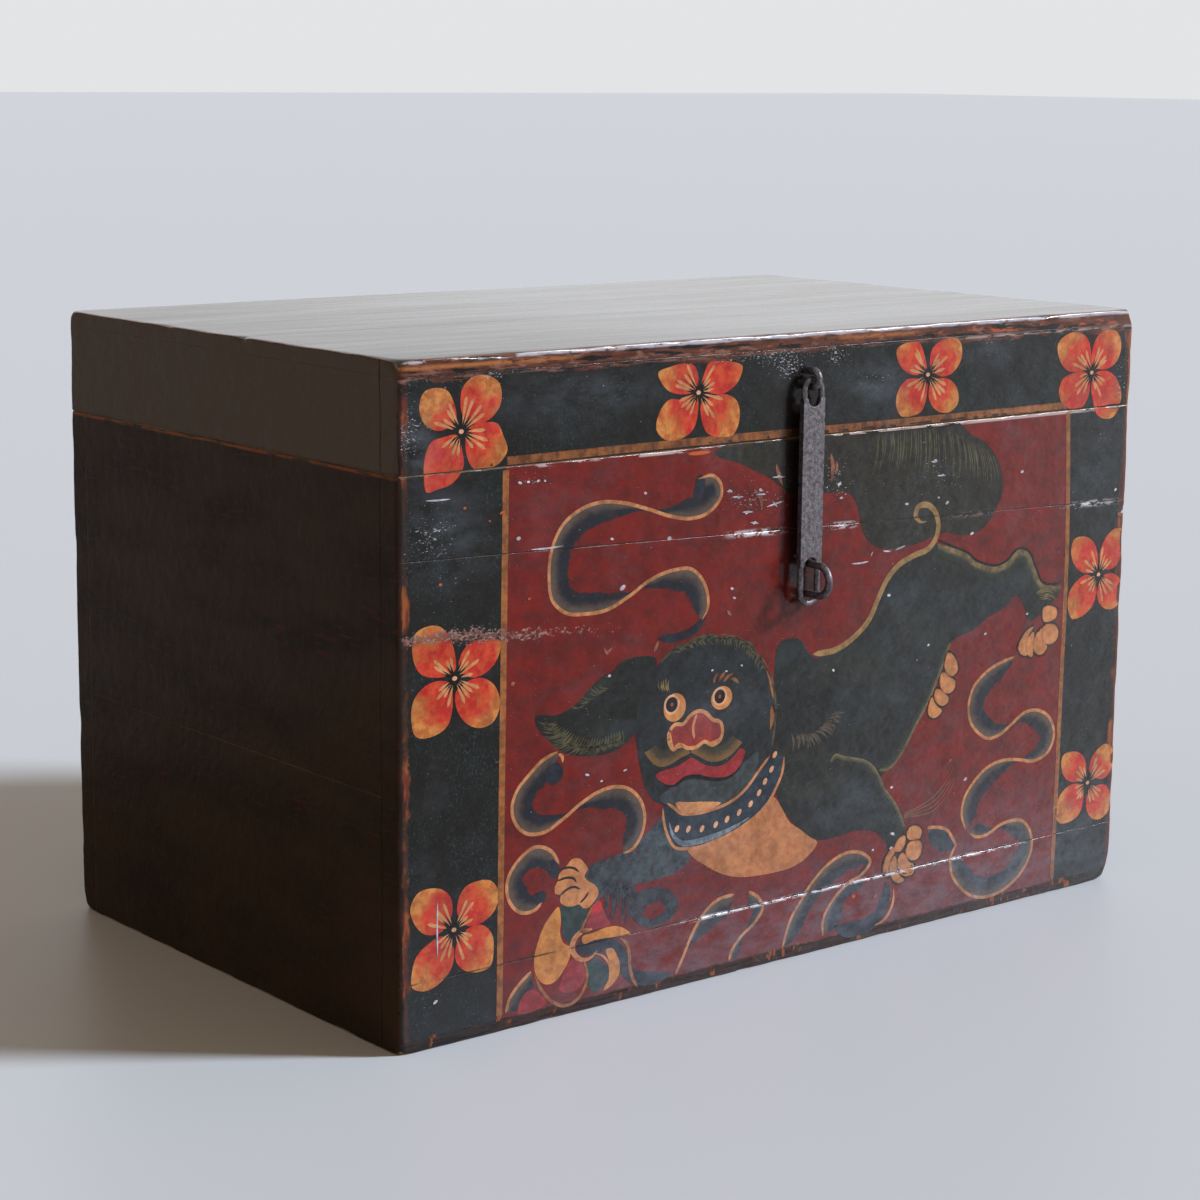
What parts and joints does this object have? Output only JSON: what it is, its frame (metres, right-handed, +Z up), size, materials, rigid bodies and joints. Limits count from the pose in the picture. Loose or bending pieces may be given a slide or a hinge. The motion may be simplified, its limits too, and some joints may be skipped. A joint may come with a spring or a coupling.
{
  "type": "trunk",
  "caption": "Painted wooden trunk: plank carcass, shallow box lid on rear iron hinges, and a forged hasp that swings on a lid staple and drops over a lock staple on the front.",
  "frame": {"origin": "middle of the underside, on the floor", "axes": "+Z up, front towards -Y, +X along the width to the right when seen from the front"},
  "size_m": [0.608, 0.4057, 0.4],
  "materials": {
    "painted_front": "old painted lacquer, worn glossy",
    "dark_lacquer": "dark brown-black lacquer, worn satin",
    "bare_wood": "unpainted, aged",
    "dowel_wood": "unpainted",
    "wrought_iron": "hammered, dark, worn bright at the edges"
  },
  "bodies": {
    "carcass": {"front_top_plank": "painted_front", "front_middle_plank": "painted_front", "front_bottom_plank": "painted_front", "back_top_plank": "dark_lacquer", "back_bottom_plank": "dark_lacquer", "left_top_plank": "dark_lacquer", "left_bottom_plank": "dark_lacquer", "right_top_plank": "dark_lacquer", "right_bottom_plank": "dark_lacquer", "bottom_front_board": "bare_wood", "bottom_middle_board": "bare_wood", "bottom_rear_board": "bare_wood", "front_dowels": "dowel_wood", "back_dowels": "dowel_wood", "side_dowels": "dowel_wood", "corner_dowels": "dowel_wood", "bottom_dowels": "dowel_wood", "lock_staple": "wrought_iron", "left_body_leaf": "wrought_iron", "right_body_leaf": "wrought_iron", "left_hinge_pin": "wrought_iron", "right_hinge_pin": "wrought_iron", "body_hinge_nails": "wrought_iron"},
    "lid": {"lid_front_top_board": "dark_lacquer", "lid_rear_top_board": "dark_lacquer", "lid_front_rail": "painted_front", "lid_back_rail": "dark_lacquer", "lid_left_rail": "dark_lacquer", "lid_right_rail": "dark_lacquer", "lid_joint_dowels": "dowel_wood", "lid_top_dowels": "dowel_wood", "lid_corner_dowels": "dowel_wood", "hasp_staple": "wrought_iron", "left_lid_leaf": "wrought_iron", "right_lid_leaf": "wrought_iron", "lid_hinge_nails": "wrought_iron"},
    "hasp": {"hasp": "wrought_iron"}
  },
  "joints": [
    {"name": "lid_hinge", "type": "hinge", "parent": "carcass", "child": "lid", "pos_m": [0, 0.1895, 0.335], "axis": [-1, 0, 0], "range_deg": [0, 105]},
    {"name": "hasp_swing", "type": "hinge", "parent": "lid", "child": "hasp", "pos_m": [0.002, -0.191, 0.3714], "axis": [-1, 0, 0], "range_deg": [0, 187]}
  ]
}
